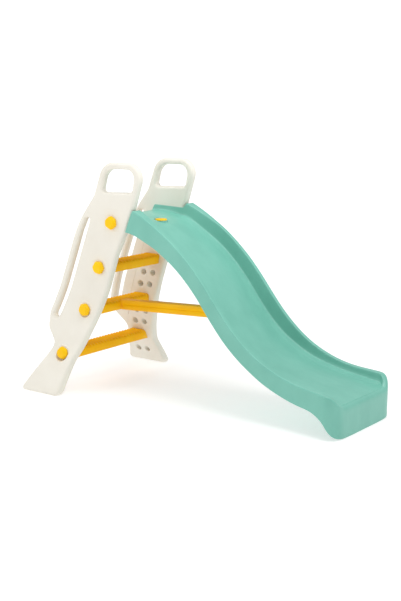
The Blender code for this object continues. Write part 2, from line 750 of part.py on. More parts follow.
# ---------------------------------------------------------------- fasteners
def softened(obj, width, segments=1):
    """A bevel round the sharp edges."""
    bevel = obj.modifiers.new("edges", "BEVEL")
    bevel.width = width * MM
    bevel.segments = segments
    bevel.limit_method = "ANGLE"
    bevel.angle_limit = math.radians(35.0)
    obj.data = evaluated_mesh(obj)
    obj.modifiers.clear()
    return obj


def make_hand_bolts():
    for side, word in ((1, "left"), (-1, "right")):
        for k, (x, z) in enumerate(BOLTS):
            seat = outer_y(z) - SEAT_DEPTHS[k] + CLEAR
            turn = HEAD_TURNS[k] + (17.0 if side > 0 else 0.0)
            low = softened(hexagon("grip", HEAD_R, seat, seat + HEAD_H * 0.5, 1.0, turn), 3.0)
            high = hexagon("crown", HEAD_R - 1.0, seat + HEAD_H * 0.4, seat + HEAD_H, 0.76, turn)
            bolt = boolean(low, softened(high, 2.0), "UNION")
            tip = inner_y(z) - SHANK_GRIP
            shank = turned("shank", ((tip, SHANK_R - 2.0), (tip + 3.0, SHANK_R), (seat + 5.0, SHANK_R)), 16)
            boolean(bolt, shank, "UNION")
            bolt.data.transform(Matrix.Rotation(math.radians(-90.0 * side), 4, "X"))
            bolt = finish(bolt, f"hand_bolt_{word}_{k + 1}", KNOB)
            bolt.location = (x * MM, 0.0, z * MM)


def make_platform_screw():
    z0 = BOLTS[3][1]
    seat = SCREW_SEAT + CLEAR
    stages = ((z0 - 27.0, SCREW_SHANK), (seat, SCREW_SHANK), (seat, SCREW_R), (seat + 4.5, SCREW_R), (seat + 7.0, SCREW_R - 4.0))
    screw = turned("platform_screw", stages, 24)
    boolean(screw, box("coin_slot", (-14.0, -4.0, seat + 4.0), (14.0, 4.0, seat + 12.0)))
    screw = finish(screw, "platform_screw", KNOB)
    screw.location = (SCREW_X * MM, 0.0, 0.0)
    nut = hexagon("platform_nut", NUT_R, z0 - 28.5, z0 - 20.5)
    hole = SCREW_SHANK + CLEAR
    boolean(nut, turned("bore", ((z0 - 40.0, hole), (z0, hole)), 16))
    nut = finish(nut, "platform_nut", STEEL)
    nut.location = (SCREW_X * MM, 0.0, 0.0)


def make_brace_bolt():
    face = BRACE_HALF + 2 * CLEAR + CHEEK
    stages = ((-face - 6.0, 8.0), (-face, 8.0), (-face, SMALL_R), (face + 9.0, SMALL_R))
    bolt = placed(turned("brace_bolt", stages, 12), "Y", (0.0, 0.0, 0.0))
    bolt = finish(bolt, "brace_bolt", STEEL)
    bolt.location = (BRACE_BOLT_X * MM, 0.0, BRACE_BOLT_Z * MM)
    nut = hexagon("brace_nut", 8.0, face, face + 6.0)
    hole = SMALL_R + CLEAR
    boolean(nut, turned("bore", ((face - 5.0, hole), (face + 12.0, hole)), 12))
    nut = finish(placed(nut, "Y", (0.0, 0.0, 0.0)), "brace_nut", STEEL)
    nut.location = (BRACE_BOLT_X * MM, 0.0, BRACE_BOLT_Z * MM)


make_frame()
make_steps()
make_platform_beam()
make_chute()
make_brace()
make_hand_bolts()
make_platform_screw()
make_brace_bolt()
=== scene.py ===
"""Toddler slide: moulded frames, ribbed steps, chute, brace and knobs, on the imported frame."""
import math

import bpy
from mathutils import Matrix, Vector


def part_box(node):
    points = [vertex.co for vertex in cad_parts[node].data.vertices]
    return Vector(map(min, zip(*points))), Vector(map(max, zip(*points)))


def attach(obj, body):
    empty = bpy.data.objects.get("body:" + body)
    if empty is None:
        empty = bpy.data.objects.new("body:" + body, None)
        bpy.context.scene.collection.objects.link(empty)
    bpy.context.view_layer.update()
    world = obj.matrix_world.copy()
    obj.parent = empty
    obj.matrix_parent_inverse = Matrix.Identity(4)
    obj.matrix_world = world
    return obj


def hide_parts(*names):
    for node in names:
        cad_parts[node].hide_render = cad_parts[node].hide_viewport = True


MM = 0.001

# Camera
CAMERA_PLACE = (2.7024, -3.6103, 1.2877)
CAMERA_TURN = 37.31
CAMERA_DIP = 11.0
CAMERA_ROLL = 0.265
CAMERA_LENS = 67.27

# Shared sizes of the slide (mm, +X down the slide, +Z up)
LENGTH = 1458.0
FRAME_GAP = 312.0
FRAME_THICK = 36.0
FRAME_EDGE = 12.0
SHEET = 3.5
CLEAR = 0.4

# Ladder
STEP_RISE = 185.5
STEP_RUN = 73.0
FIRST_BOLT_X = -578.5
FIRST_BOLT_Z = 161.0
PLATFORM_BOLT_RISE = 192.0
STEP_DEPTH = 80.0
STEP_TOP = 18.0
STEP_DROP = 25.0
RIB_PITCH = 19.0
RIB_HEIGHT = 4.6

# How far each frame stands out to the side: (height, outer face, thickness)
FLARE = (
    (0.0, 189.0, 43.0),
    (60.0, 152.0, 43.0),
    (128.0, 104.0, 43.0),
    (190.0, 68.0, 43.0),
    (250.0, 45.0, 40.5),
    (315.0, 22.5, 38.0),
    (372.0, 10.0, 37.0),
    (450.0, 1.5, 36.0),
    (1200.0, 0.0, 36.0),
)

# Frame outline and openings: (distance in front of the bolt line, height, corner radius)
OUTLINE = (
    (-97.5, 0.0, 14.0),
    (127.0, 0.0, 22.0),
    (75.0, 128.0, 90.0),
    (74.0, 455.0, 500.0),
    (68.0, 585.0, 300.0),
    (82.0, 700.0, 300.0),
    (85.0, 784.0, 100.0),
    (74.7, 970.0, 62.0),
    (-145.3, 970.0, 76.0),
    (-143.4, 833.0, 60.0),
    (-193.0, 711.0, 560.0),
    (-193.8, 318.0, 70.0),
    (-159.0, 253.0, 42.0),
    (-74.8, 191.0, 28.0),
)
SLOT = (
    (-163.0, 297.0, 14.0),
    (-129.0, 297.0, 14.0),
    (-129.0, 737.0, 15.0),
    (-155.0, 737.0, 15.0),
    (-163.0, 680.0, 90.0),
)
GRIP = ((-106.5, 846.0, 14.0), (55.0, 852.0, 18.0), (36.3, 943.0, 56.0), (-118.7, 943.0, 60.0))
DIMPLE_SPREAD = 26.0
DIMPLE_ROWS = (-91.0, 60.0, 115.0)
DIMPLE_MOUTH = 14.0
DIMPLE_TIP = 8.0
SEAM_AHEAD = -70.0
SEAM_HEIGHTS = (246.0, 690.0)

# Knobs
HEAD_R = 29.0
HEAD_H = 20.0
SHANK_R = 8.0
SHANK_GRIP = 32.0
SEAT_R = 31.0
SEAT_DEPTHS = (8.0, 3.0, 1.5, 1.5)
HEAD_TURNS = (12.0, 41.0, 25.0, 3.0)

# Chute: (x, rail top, bed, skirt edge, inner wall and outer wall from the middle)
STATIONS = (
    (-240.5, 783.0, 721.0, 691.0, 152.5, 200.0),
    (-209.5, 768.0, 709.0, 683.0, 153.5, 200.0),
    (-179.5, 753.0, 688.0, 663.0, 158.0, 200.0),
    (-146.5, 734.0, 664.0, 645.0, 167.0, 200.0),
    (-109.5, 711.0, 636.0, 623.0, 175.5, 200.0),
    (-56.5, 677.0, 598.0, 588.0, 178.0, 200.0),
    (-4.5, 635.0, 552.0, 547.0, 178.0, 200.0),
    (45.5, 590.0, 499.0, 498.0, 178.0, 200.0),
    (85.5, 548.0, 450.0, 453.0, 178.0, 200.0),
    (125.5, 501.0, 397.0, 400.0, 178.0, 200.0),
    (165.5, 450.0, 349.0, 350.0, 178.0, 200.0),
    (205.5, 400.0, 307.0, 304.0, 178.0, 200.0),
    (247.5, 353.0, 270.0, 264.0, 178.0, 200.0),
    (294.5, 309.0, 240.0, 226.0, 178.0, 200.0),
    (340.5, 273.0, 214.0, 195.0, 178.0, 200.0),
    (385.5, 245.0, 194.0, 167.0, 178.0, 200.0),
    (432.5, 222.5, 179.0, 145.0, 178.5, 200.5),
    (477.5, 204.5, 168.0, 128.0, 179.0, 202.0),
    (525.5, 191.0, 158.0, 113.0, 180.0, 204.0),
    (575.5, 181.0, 149.0, 103.0, 182.5, 208.0),
    (615.5, 176.5, 141.0, 97.0, 186.0, 213.0),
    (650.5, 173.0, 135.0, 80.0, 188.5, 217.5),
    (678.5, 169.5, 130.0, 55.0, 190.0, 220.0),
)
REAR_X = -415.0
REAR_LEAN = 0.45
REAR_FOOT = 722.0
PLATFORM = (
    (REAR_X, 768.0, 742.0),
    (-394.0, 767.0, 742.0),
    (-326.5, 765.0, 740.5),
    (-281.5, 763.0, 731.0),
    (-254.5, 762.0, 725.0),
)
PLATFORM_HALF = 152.0
# Exit corner: (turn in degrees, rail top, skirt edge)
EXIT = ((0.0, 169.0, 54.0), (22.5, 165.0, 27.0), (45.0, 153.0, 11.0), (67.5, 135.0, 5.0), (90.0, 121.0, 2.0))
EXIT_HALF = 221.0
EXIT_ALONG = 52.0
EXIT_ACROSS = 60.0
EXIT_FLAT = 110.0
EXIT_BED = 121.0
EXIT_WIDTH = 28.0
EXIT_REACH = 68.0
EXIT_LEAD = 12.0
PLATFORM_ROWS = 13
ROW_STEP = 34.0
BED_COLUMNS = 6
CROWN = 11

# Brace
BRACE_HALF = 20.0
BRACE_HEIGHT = 44.0
BRACE_SLOPE = 0.046
BRACE_REAR_X = -465.9
BRACE_REAR_Z = 321.0
BRACE_TOP_END = 109.5
BRACE_LOW_END = 144.5
BRACE_BOLT_X = 104.0
BRACE_BOLT_Z = 368.0
CHEEK = 4.0
TONGUE_HALF = 14.0
SMALL_R = 4.0

# Platform screw
SCREW_X = -254.0
SCREW_SEAT = 722.5
SCREW_R = 26.0
SCREW_BOSS = 10.0
SCREW_SHANK = 6.0

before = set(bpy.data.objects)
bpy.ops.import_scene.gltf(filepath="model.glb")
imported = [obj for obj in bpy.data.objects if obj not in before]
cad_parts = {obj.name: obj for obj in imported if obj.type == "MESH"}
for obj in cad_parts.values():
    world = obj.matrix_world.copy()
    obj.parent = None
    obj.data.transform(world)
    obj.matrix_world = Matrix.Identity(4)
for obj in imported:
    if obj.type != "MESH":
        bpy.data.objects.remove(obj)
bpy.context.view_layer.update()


# ---------------------------------------------------------------- modelling moves
def alone(obj):
    """Leaves only this object selected, and active."""
    bpy.ops.object.select_all(action="DESELECT")
    obj.select_set(True)
    bpy.context.view_layer.objects.active = obj
    return obj


def fresh(name):
    """Names the object that was just added."""
    obj = bpy.context.object
    obj.name = name
    obj.data.name = name
    return obj


def settled(obj):
    """Moves the object's place, turn and size into its mesh."""
    alone(obj)
    bpy.ops.object.transform_apply(location=True, rotation=True, scale=True)
    return obj


def applied(obj, kind, **values):
    """Adds one modifier with these values and applies it."""
    alone(obj)
    mod = obj.modifiers.new(kind.lower(), kind)
    for key, value in values.items():
        setattr(mod, key, value)
    bpy.ops.object.modifier_apply(modifier=mod.name)
    return obj


def carved(obj, tool, operation="DIFFERENCE"):
    """Cuts or joins the tool, then throws it away."""
    applied(obj, "BOOLEAN", object=tool, operation=operation, solver="EXACT")
    bpy.data.objects.remove(tool, do_unlink=True)
    return obj


def joined(pieces):
    """Several objects as one, under the first one's name."""
    bpy.ops.object.select_all(action="DESELECT")
    for piece in pieces:
        piece.select_set(True)
    bpy.context.view_layer.objects.active = pieces[0]
    bpy.ops.object.join()
    return bpy.context.object


def whole_mesh(obj, *moves):
    """Runs edit-mode moves on the whole mesh."""
    alone(obj)
    bpy.ops.object.mode_set(mode="EDIT")
    bpy.ops.mesh.select_all(action="SELECT")
    for move, values in moves:
        move(**values)
    bpy.ops.object.mode_set(mode="OBJECT")
    return obj


def merged(obj, distance=0.02):
    return whole_mesh(
        obj,
        (bpy.ops.mesh.remove_doubles, {"threshold": distance * MM}),
        (bpy.ops.mesh.normals_make_consistent, {"inside": False}),
    )


def chosen(obj, kind, test):
    """Goes into edit mode with only the faces, edges or vertices that pass the test selected."""
    alone(obj)
    bpy.ops.object.mode_set(mode="EDIT")
    bpy.ops.mesh.select_mode(type=kind)
    bpy.ops.mesh.select_all(action="DESELECT")
    bpy.ops.object.mode_set(mode="OBJECT")
    items = {"FACE": obj.data.polygons, "EDGE": obj.data.edges, "VERT": obj.data.vertices}[kind]
    for item in items:
        item.select = bool(test(item))
    bpy.ops.object.mode_set(mode="EDIT")
    return obj


def done():
    bpy.ops.object.mode_set(mode="OBJECT")


def bevelled(obj, width, segments=3, angle=35.0):
    return applied(
        obj,
        "BEVEL",
        width=width * MM,
        segments=segments,
        limit_method="ANGLE",
        angle_limit=math.radians(angle),
    )


def smoothed(obj, angle=35.0):
    alone(obj)
    bpy.ops.object.shade_smooth_by_angle(angle=math.radians(angle))
    return obj


def block(name, low, high):
    """A box between two corners."""
    middle = [(a + b) / 2 * MM for a, b in zip(low, high)]
    bpy.ops.object.select_all(action="DESELECT")
    bpy.ops.mesh.primitive_cube_add(size=1.0, location=middle)
    obj = fresh(name)
    obj.scale = [(b - a) * MM for a, b in zip(low, high)]
    return settled(obj)


def rod(name, axis, centre, low, high, radius, tip=None, sides=32):
    """A round bar along an axis, from low to high on it; tip is its radius at the high end."""
    place = list(centre)
    place["XYZ".index(axis)] = (low + high) / 2
    turn = {"X": (0.0, math.pi / 2, 0.0), "Y": (-math.pi / 2, 0.0, 0.0), "Z": (0.0, 0.0, 0.0)}[axis]
    bpy.ops.object.select_all(action="DESELECT")
    bpy.ops.mesh.primitive_cone_add(
        vertices=sides,
        radius1=radius * MM,
        radius2=(radius if tip is None else tip) * MM,
        depth=(high - low) * MM,
        location=[c * MM for c in place],
        rotation=turn,
    )
    return settled(fresh(name))


def draped(name, rows):
    """A grid laid onto rows of places."""
    wide = len(rows[0]) - 1
    long = len(rows) - 1
    bpy.ops.object.select_all(action="DESELECT")
    bpy.ops.mesh.primitive_grid_add(x_subdivisions=wide, y_subdivisions=long, size=1.0)
    obj = fresh(name)
    for vertex in obj.data.vertices:
        j = round((vertex.co.x + 0.5) * wide)
        i = round((vertex.co.y + 0.5) * long)
        vertex.co = [c * MM for c in rows[i][j]]
    return obj


def along(table, at, column):
    """A column of a table at a place between its rows, on a smooth curve through them."""
    last = len(table) - 2
    k = max([0] + [i for i in range(last + 1) if table[i][0] <= at])
    low, high = table[k], table[k + 1]
    span = high[0] - low[0]
    share = min(1.0, max(0.0, (at - low[0]) / span))

    def slope(i):
        before, after = table[max(i - 1, 0)], table[min(i + 1, last + 1)]
        return (after[column] - before[column]) / (after[0] - before[0]) * span

    a, b = share * share * (3.0 - 2.0 * share), share * (1.0 - share)
    blend = low[column] + (high[column] - low[column]) * a
    return blend + b * ((1.0 - share) * slope(k) - share * slope(k + 1))


def lerp(a, b, share):
    return a + (b - a) * share


# ---------------------------------------------------------------- shared lines
def bolt_x(z):
    """X of the bolt line at a height."""
    return FIRST_BOLT_X + (z - FIRST_BOLT_Z) * STEP_RUN / STEP_RISE


def outer_y(z):
    return FRAME_GAP / 2 + FRAME_THICK + along(FLARE, max(z, 0.0), 1)


def thick_y(z):
    return along(FLARE, max(z, 0.0), 2)


def inner_y(z):
    return outer_y(z) - thick_y(z)


BED = [(x, floor) for x, _, floor in PLATFORM]
BED += [(row[0], row[2]) for row in STATIONS]
BED += [(LENGTH / 2, EXIT_BED)]
BOLTS = [(FIRST_BOLT_X + k * STEP_RUN, FIRST_BOLT_Z + k * STEP_RISE) for k in range(3)]
BOLTS.append((FIRST_BOLT_X + 3 * STEP_RUN, BOLTS[2][1] + PLATFORM_BOLT_RISE))


def bed_at(x):
    return along(BED, x, 1)


# ---------------------------------------------------------------- finishes
def group_of(name, inputs, outputs):
    """An empty shader group with number inputs and outputs."""
    group = bpy.data.node_groups.new(name, "ShaderNodeTree")
    for label, value in inputs:
        socket = group.interface.new_socket(name=label, in_out="INPUT", socket_type="NodeSocketFloat")
        socket.default_value = value
    for label in outputs:
        group.interface.new_socket(name=label, in_out="OUTPUT", socket_type="NodeSocketFloat")
    start = group.nodes.new("NodeGroupInput")
    end = group.nodes.new("NodeGroupOutput")
    return group, start, end


def noise(tree, coordinate, scale, detail, rough=0.55):
    """A noise texture on the coordinates given; scale is a number or a socket."""
    node = tree.nodes.new("ShaderNodeTexNoise")
    node.inputs["Detail"].default_value = detail
    node.inputs["Roughness"].default_value = rough
    tree.links.new(coordinate, node.inputs["Vector"])
    if isinstance(scale, float):
        node.inputs["Scale"].default_value = scale
    else:
        tree.links.new(scale, node.inputs["Scale"])
    return node.outputs["Fac"]


def maths(tree, operation, a, b):
    node = tree.nodes.new("ShaderNodeMath")
    node.operation = operation
    for socket, value in zip(node.inputs, (a, b)):
        if isinstance(value, (int, float)):
            socket.default_value = value
        else:
            tree.links.new(value, socket)
    return node.outputs[0]


def ranged(tree, value, low, high, to_low, to_high):
    node = tree.nodes.new("ShaderNodeMapRange")
    tree.links.new(value, node.inputs["Value"])
    for label, number in zip(("From Min", "From Max", "To Min", "To Max"), (low, high, to_low, to_high)):
        node.inputs[label].default_value = number
    return node.outputs["Result"]


def stretched(tree, coordinate, scale, turn=(0.0, 0.0, 0.0)):
    node = tree.nodes.new("ShaderNodeMapping")
    node.inputs["Scale"].default_value = scale
    node.inputs["Rotation"].default_value = turn
    tree.links.new(coordinate, node.inputs["Vector"])
    return node.outputs["Vector"]


def make_grain_group():
    """Moulded skin: fine orange peel, and slow unevenness of tone and gloss."""
    inputs = (("Peel Scale", 420.0), ("Flow Scale", 9.0))
    group, start, end = group_of("moulded_skin", inputs, ("Peel", "Flow", "Gloss"))
    place = group.nodes.new("ShaderNodeTexCoord").outputs["Object"]
    peel = noise(group, place, start.outputs["Peel Scale"], 2.0)
    swirl = noise(group, stretched(group, place, (1.0, 1.6, 0.7)), start.outputs["Flow Scale"], 3.0)
    patch = noise(group, place, 46.0, 4.0, 0.65)
    group.links.new(peel, end.inputs["Peel"])
    group.links.new(ranged(group, swirl, 0.3, 0.7, 0.0, 1.0), end.inputs["Flow"])
    group.links.new(ranged(group, patch, 0.3, 0.7, 0.0, 1.0), end.inputs["Gloss"])
    return group


def make_scuff_group():
    """Light handling scuffs: short thin strokes in two directions, only in some places."""
    group, start, end = group_of("handling_scuffs", (("Amount", 0.5),), ("Mask", "Depth"))
    place = group.nodes.new("ShaderNodeTexCoord").outputs["Object"]
    strokes = noise(group, stretched(group, place, (22.0, 420.0, 300.0), (0.2, 0.1, 0.5)), 1.0, 3.0, 0.6)
    across = noise(group, stretched(group, place, (380.0, 30.0, 260.0), (0.5, 0.2, 0.1)), 1.0, 3.0, 0.6)
    where = ranged(group, noise(group, place, 14.0, 2.0), 0.5, 0.72, 0.0, 1.0)
    along_marks = ranged(group, strokes, 0.66, 0.74, 0.0, 1.0)
    cross_marks = ranged(group, across, 0.67, 0.75, 0.0, 1.0)
    thin = maths(group, "MAXIMUM", along_marks, cross_marks)
    mask = maths(group, "MULTIPLY", maths(group, "MULTIPLY", thin, where), start.outputs["Amount"])
    group.links.new(mask, end.inputs["Mask"])
    group.links.new(maths(group, "MULTIPLY", mask, -1.0), end.inputs["Depth"])
    return group


def make_wear_and_shade_group():
    """Where corners stand out, for edge wear, and where hollows lie in, as a mask for painted shade."""
    group, start, end = group_of("worn_edges_and_painted_shade", (("Reach", 1.0),), ("Edge", "Hollow Shade"))
    point = group.nodes.new("ShaderNodeNewGeometry").outputs["Pointiness"]
    edge = ranged(group, point, 0.52, 0.60, 0.0, 1.0)
    # painted shade mask: low pointiness, in creases and hollows
    hollow_shade = ranged(group, point, 0.40, 0.485, 1.0, 0.0)
    group.links.new(maths(group, "MULTIPLY", edge, start.outputs["Reach"]), end.inputs["Edge"])
    group.links.new(maths(group, "MULTIPLY", hollow_shade, start.outputs["Reach"]), end.inputs["Hollow Shade"])
    return group


SKIN = make_grain_group()
SCUFFS = make_scuff_group()
EDGES = make_wear_and_shade_group()


def placed_group(tree, group, **values):
    node = tree.nodes.new("ShaderNodeGroup")
    node.node_tree = group
    for label, value in values.items():
        node.inputs[label.replace("_", " ")].default_value = value
    return node.outputs


def mixed(tree, share, a, b):
    """A colour between two, by a mask."""
    node = tree.nodes.new("ShaderNodeMix")
    node.data_type = "RGBA"
    tree.links.new(share, node.inputs["Factor"])
    for socket, value in ((node.inputs[6], a), (node.inputs[7], b)):
        if isinstance(value, tuple):
            socket.default_value = (*value, 1.0)
        else:
            tree.links.new(value, socket)
    return node.outputs[2]


def plastic(name, light, deep, rough, shine, peel, peel_depth, scuff):
    """A moulded plastic: two close tones, worn edges, painted shade in hollows, scuffs and a fine skin."""
    mat = bpy.data.materials.new(name)
    mat.use_nodes = True
    tree = mat.node_tree
    shader = tree.nodes["Principled BSDF"]
    skin = placed_group(tree, SKIN, Peel_Scale=peel)
    marks = placed_group(tree, SCUFFS, Amount=scuff)
    edges = placed_group(tree, EDGES, Reach=1.0)
    tone = mixed(tree, skin["Flow"], deep, light)
    pale = tuple(lerp(c, 0.9, 0.25) for c in light)
    hollow_shade_tone = tuple(c * 0.72 for c in deep)
    tone = mixed(tree, maths(tree, "MULTIPLY", edges["Edge"], 0.35), tone, pale)
    # painted shade: hollows take a darker copy of the deep tone
    tone = mixed(tree, maths(tree, "MULTIPLY", edges["Hollow Shade"], 0.55), tone, hollow_shade_tone)
    tone = mixed(tree, maths(tree, "MULTIPLY", marks["Mask"], 0.5), tone, pale)
    tree.links.new(tone, shader.inputs["Base Color"])
    gloss = ranged(tree, skin["Gloss"], 0.0, 1.0, rough - 0.04, rough + 0.06)
    gloss = maths(tree, "ADD", gloss, maths(tree, "MULTIPLY", marks["Mask"], 0.2))
    tree.links.new(gloss, shader.inputs["Roughness"])
    shader.inputs["Specular IOR Level"].default_value = shine
    bump = tree.nodes.new("ShaderNodeBump")
    bump.inputs["Strength"].default_value = 0.35
    bump.inputs["Distance"].default_value = peel_depth * MM
    height = maths(tree, "ADD", skin["Peel"], maths(tree, "MULTIPLY", marks["Depth"], 0.6))
    tree.links.new(height, bump.inputs["Height"])
    tree.links.new(bump.outputs["Normal"], shader.inputs["Normal"])
    return mat


def steel(name):
    """Zinc-plated steel, with cloudy plating and fine turning marks."""
    mat = bpy.data.materials.new(name)
    mat.use_nodes = True
    tree = mat.node_tree
    shader = tree.nodes["Principled BSDF"]
    skin = placed_group(tree, SKIN, Peel_Scale=900.0, Flow_Scale=120.0)
    marks = placed_group(tree, SCUFFS, Amount=0.8)
    tone = mixed(tree, skin["Flow"], (0.48, 0.49, 0.50), (0.68, 0.69, 0.70))
    tree.links.new(tone, shader.inputs["Base Color"])
    tree.links.new(ranged(tree, skin["Gloss"], 0.0, 1.0, 0.25, 0.45), shader.inputs["Roughness"])
    shader.inputs["Metallic"].default_value = 1.0
    bump = tree.nodes.new("ShaderNodeBump")
    bump.inputs["Strength"].default_value = 0.3
    bump.inputs["Distance"].default_value = 0.1 * MM
    tree.links.new(maths(tree, "ADD", skin["Peel"], marks["Depth"]), bump.inputs["Height"])
    tree.links.new(bump.outputs["Normal"], shader.inputs["Normal"])
    return mat


CREAM = plastic("cream_frame", (0.83, 0.80, 0.72), (0.79, 0.755, 0.67), 0.46, 0.25, 520.0, 0.25, 0.5)
TEAL = plastic("teal_chute", (0.200, 0.520, 0.425), (0.172, 0.475, 0.385), 0.32, 0.38, 460.0, 0.18, 0.4)
YELLOW = plastic("yellow_steps", (1.0, 0.535, 0.002), (0.98, 0.47, 0.001), 0.42, 0.06, 480.0, 0.22, 0.5)
KNOB = plastic("yellow_knobs", (1.0, 0.62, 0.005), (0.98, 0.55, 0.003), 0.34, 0.16, 700.0, 0.12, 0.6)
ZINC = steel("zinc_steel")


def finished(obj, mat, body, slot, *nodes):
    """Gives a piece its finish, its body and the parts it stands for."""
    obj.data.materials.clear()
    obj.data.materials.append(mat)
    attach(obj, body)
    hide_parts(*nodes)
    return obj


# ---------------------------------------------------------------- side frames
def rounded(corners, spacing=8.0):
    """Corners (x, z, radius) as a closed outline with arcs."""
    points = []
    count = len(corners)
    for i, (x, z, radius) in enumerate(corners):
        before, after = corners[i - 1], corners[(i + 1) % count]
        a = Vector((before[0] - x, before[1] - z))
        b = Vector((after[0] - x, after[1] - z))
        angle = a.angle(b)
        cut = min(radius / math.tan(angle / 2), 0.48 * a.length, 0.48 * b.length)
        radius = cut * math.tan(angle / 2)
        middle = (a.normalized() + b.normalized()).normalized()
        centre = Vector((x, z)) + middle * radius / math.sin(angle / 2)
        first = Vector((x, z)) + a.normalized() * cut - centre
        last = Vector((x, z)) + b.normalized() * cut - centre
        start = math.atan2(first.y, first.x)
        sweep = (math.atan2(last.y, last.x) - start + math.pi) % (2 * math.pi) - math.pi
        steps = max(3, round(abs(sweep) * radius / spacing))
        for k in range(steps + 1):
            turn = start + sweep * k / steps
            points.append((centre.x + radius * math.cos(turn), centre.y + radius * math.sin(turn)))
    return points


def flat_frame():
    """The frame drawn flat, upright in XZ, with rounded edges."""
    curve = bpy.data.curves.new("side_frame", "CURVE")
    curve.dimensions = "2D"
    curve.fill_mode = "BOTH"
    curve.extrude = (FRAME_THICK / 2 - FRAME_EDGE) * MM
    curve.bevel_depth = FRAME_EDGE * MM
    curve.bevel_resolution = 4
    curve.offset = -FRAME_EDGE * MM
    for corners in (OUTLINE, SLOT, GRIP):
        outline = rounded([(bolt_x(z) + ahead, z, radius) for ahead, z, radius in corners])
        spline = curve.splines.new("POLY")
        spline.points.add(len(outline) - 1)
        for point, (x, z) in zip(spline.points, outline):
            point.co = (x * MM, z * MM, 0.0, 1.0)
        spline.use_cyclic_u = True
    obj = bpy.data.objects.new("side_frame", curve)
    bpy.context.scene.collection.objects.link(obj)
    alone(obj)
    bpy.ops.object.convert(target="MESH")
    obj = bpy.context.object
    obj.rotation_euler.x = math.pi / 2
    return merged(settled(obj), 0.001)


def bent(obj):
    """Cuts the flat piece into level bands and leans it out to its real side, as the flare goes."""
    for level in range(12, 460, 12):
        plane = {"plane_co": (0.0, 0.0, level * MM), "plane_no": (0.0, 0.0, 1.0), "threshold": 1e-6}
        whole_mesh(obj, (bpy.ops.mesh.bisect, plane))
    whole_mesh(obj, (bpy.ops.mesh.quads_convert_to_tris, {}))
    for vertex in obj.data.vertices:
        y, z = (c / MM for c in vertex.co.yz)
        vertex.co.y = (outer_y(z) - thick_y(z) * (0.5 - y / FRAME_THICK)) * MM
    return obj


def seam_tool():
    """A thin blade for the moulding seam down the inner face, leaning with the bolt line."""
    half = FRAME_THICK / 2
    low, high = SEAM_HEIGHTS
    blade = block("seam", (-0.8, -half - 3.0, low), (0.8, -half + 1.3, high))
    for vertex in blade.data.vertices:
        vertex.co.x += (bolt_x(vertex.co.z / MM) + SEAM_AHEAD) * MM
    return bent(blade)


def make_frames():
    half = FRAME_THICK / 2
    obj = flat_frame()
    cones = []
    for k in range(3):
        for row in DIMPLE_ROWS if k == 0 else DIMPLE_ROWS[1:]:
            z = FIRST_BOLT_Z + k * STEP_RISE + row
            for side in (-1, 1):
                place = (bolt_x(z) + side * DIMPLE_SPREAD, 0.0, z)
                mouth = DIMPLE_MOUTH + 0.6
                cones.append(rod("dimple", "Y", place, -half - 1.5, half - 6.0, mouth, DIMPLE_TIP, 28))
    carved(obj, joined(cones))
    carved(obj, block("panel", (-397.0, half - 1.0, 690.0), (-320.0, half + 4.0, 777.0)))
    bent(obj)
    for k in range(2):
        x, z = BOLTS[k]
        seat = outer_y(z) - SEAT_DEPTHS[k]
        carved(obj, rod("boss", "Y", (x, 0.0, z), inner_y(z) + 15.0, seat, SEAT_R + 3.0, sides=48), "UNION")
    tools = []
    for k, (x, z) in enumerate(BOLTS):
        seat = outer_y(z) - SEAT_DEPTHS[k]
        tools.append(rod("seat", "Y", (x, 0.0, z), seat, seat + 60.0, SEAT_R, SEAT_R + 6.0, 48))
    carved(obj, joined(tools))
    applied(obj, "REMESH", mode="VOXEL", voxel_size=2.4 * MM, use_smooth_shade=True)
    applied(obj, "SMOOTH", factor=0.5, iterations=4)
    shanks = [
        rod("shank", "Y", (x, 0.0, z), inner_y(z) - 40.0, outer_y(z) + 5.0, SHANK_R + CLEAR, sides=32)
        for x, z in BOLTS
    ]
    carved(obj, joined(shanks))
    carved(obj, seam_tool())
    rear_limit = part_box("side_frame_left")[0][0]
    for vertex in obj.data.vertices:
        vertex.co.x = max(vertex.co.x, rear_limit)
    for word, side in (("left", 1), ("right", -1)):
        copy = obj.copy()
        copy.data = obj.data.copy()
        bpy.context.scene.collection.objects.link(copy)
        copy.name = f"moulded_frame_{word}"
        if side < 0:
            mirror = {"value": (1.0, -1.0, 1.0), "center_override": (0.0, 0.0, 0.0)}
            whole_mesh(copy, (bpy.ops.transform.resize, mirror), (bpy.ops.mesh.flip_normals, {}))
        smoothed(copy, 50.0)
        finished(copy, CREAM, "slide", "cream_plastic", f"side_frame_{word}")
    bpy.data.objects.remove(obj, do_unlink=True)


# ---------------------------------------------------------------- steps
def rib_drop(y, reach):
    """How far the tread dips below its top at a place across: a shallow saw with soft crests."""
    count = int((2 * reach - 16.0) / RIB_PITCH)
    start = -count * RIB_PITCH / 2
    if y < start or y > -start:
        return 0.0
    phase = ((y - start) / RIB_PITCH) % 1.0
    drop = phase / 0.62 if phase < 0.62 else (1.0 - phase) / 0.38
    return RIB_HEIGHT * (0.5 - 0.5 * math.cos(math.pi * drop))


def step_section():
    """(x, z, share of the rib's dip) from the rear lower edge over the tread to the front lower edge."""
    half = STEP_DEPTH / 2
    top = STEP_TOP
    side = [(-half, -STEP_DROP, 0.0), (-half, -10.0, 0.0), (-half, 4.0, 0.0), (-half, top - 6.0, 0.3)]
    side += [(-half + 1.4, top - 2.2, 0.7), (-half + 4.5, top, 1.0), (-half + 12.0, top, 1.0)]
    side += [(x, top, 1.0) for x in (-16.0, 0.0, 16.0)]
    front = [(half - 14.0, top, 1.0), (half - 8.5, top - 0.8, 1.0), (half - 4.5, top - 3.0, 1.0)]
    front += [(half - 2.2, top - 6.5, 0.7), (half - 1.0, top - 11.0, 0.1)]
    front += [(half - 1.4, 0.0, 0.0), (half - 6.0, -STEP_DROP, 0.0)]
    return side + front


